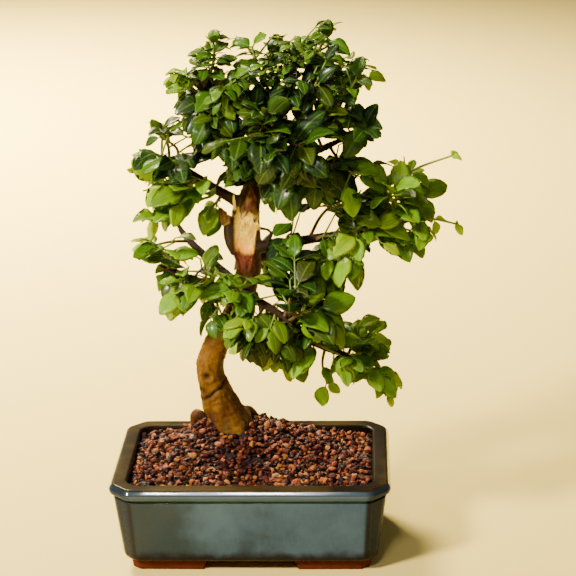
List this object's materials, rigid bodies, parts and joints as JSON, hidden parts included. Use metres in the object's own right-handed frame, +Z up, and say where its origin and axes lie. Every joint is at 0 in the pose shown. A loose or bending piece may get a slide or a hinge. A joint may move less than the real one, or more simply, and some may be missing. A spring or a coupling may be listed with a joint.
{
  "type": "privet bonsai",
  "caption": "Small privet tree with a curved trunk, an old cut and dense glossy pointed leaves, standing in gravel in a rectangular glazed pot with canted corners and feet.",
  "frame": {"origin": "centre of the bounding box, at the height of the surface that the pot's feet stand on", "axes": "+Z up, -Y to the front of the pot, +X to the right seen from the front, along the pot's length"},
  "size_m": [0.2664, 0.1854, 0.4032],
  "materials": {
    "glazed_clay": "gloss",
    "screen": "matte",
    "gravel": "matte",
    "bark": "satin",
    "old_leaf": "gloss",
    "grown_leaf": "gloss",
    "young_leaf": "gloss"
  },
  "bodies": {
    "root": {"pot": "glazed_clay", "screen_left": "screen", "screen_right": "screen", "soil": "gravel", "tree": "bark", "spray_top_left_edge": "grown_leaf", "spray_top_left_shoulder": "old_leaf", "spray_left_shoulder": "young_leaf", "spray_left_upper_edge": "old_leaf", "spray_left_upper_back": "old_leaf", "spray_left_yellow_edge": "young_leaf", "spray_left_low_edge": "young_leaf", "spray_top_middle": "grown_leaf", "spray_top_back": "grown_leaf", "spray_top_right_stem": "young_leaf", "spray_top_right_edge": "grown_leaf", "spray_right_shoulder": "young_leaf", "spray_right_upper_edge": "old_leaf", "spray_right_upper_back": "old_leaf", "spray_right_top_edge": "grown_leaf", "spray_right_long_edge": "grown_leaf", "spray_far_right_twig": "young_leaf", "spray_far_right_low_twig": "young_leaf", "spray_right_low_edge": "grown_leaf", "spray_right_low_front": "young_leaf", "spray_right_low_back": "grown_leaf", "spray_left_big_front": "grown_leaf", "spray_left_narrow_edge": "young_leaf", "spray_left_twig": "grown_leaf", "spray_left_dark_low": "old_leaf", "spray_left_back_low": "grown_leaf", "spray_low_left_tail": "grown_leaf", "spray_front_left_low": "grown_leaf", "spray_trunk_front": "grown_leaf", "spray_front_low": "grown_leaf", "spray_low_inner": "young_leaf", "spray_low_middle": "young_leaf", "spray_low_hanging": "young_leaf", "spray_low_right_tail": "young_leaf", "spray_low_right_edge": "young_leaf", "spray_low_right_front": "young_leaf", "spray_low_right_shoulder": "young_leaf", "spray_low_front_right": "grown_leaf", "spray_front_low_right": "old_leaf", "spray_front_top_left": "grown_leaf", "spray_front_top_right": "old_leaf", "spray_front_upper_left": "old_leaf", "spray_front_upper_middle": "old_leaf", "spray_front_upper_right": "old_leaf", "spray_front_middle_left": "old_leaf", "spray_front_middle": "old_leaf", "spray_front_middle_right": "old_leaf", "spray_beside_cut": "old_leaf", "spray_middle_right_front": "grown_leaf", "spray_back_upper_left": "old_leaf", "spray_back_upper_right": "old_leaf", "spray_back_middle_left": "old_leaf", "spray_back_middle_right": "old_leaf", "spray_back_low_middle": "grown_leaf", "spray_back_low_right": "grown_leaf"}
  },
  "joints": []
}
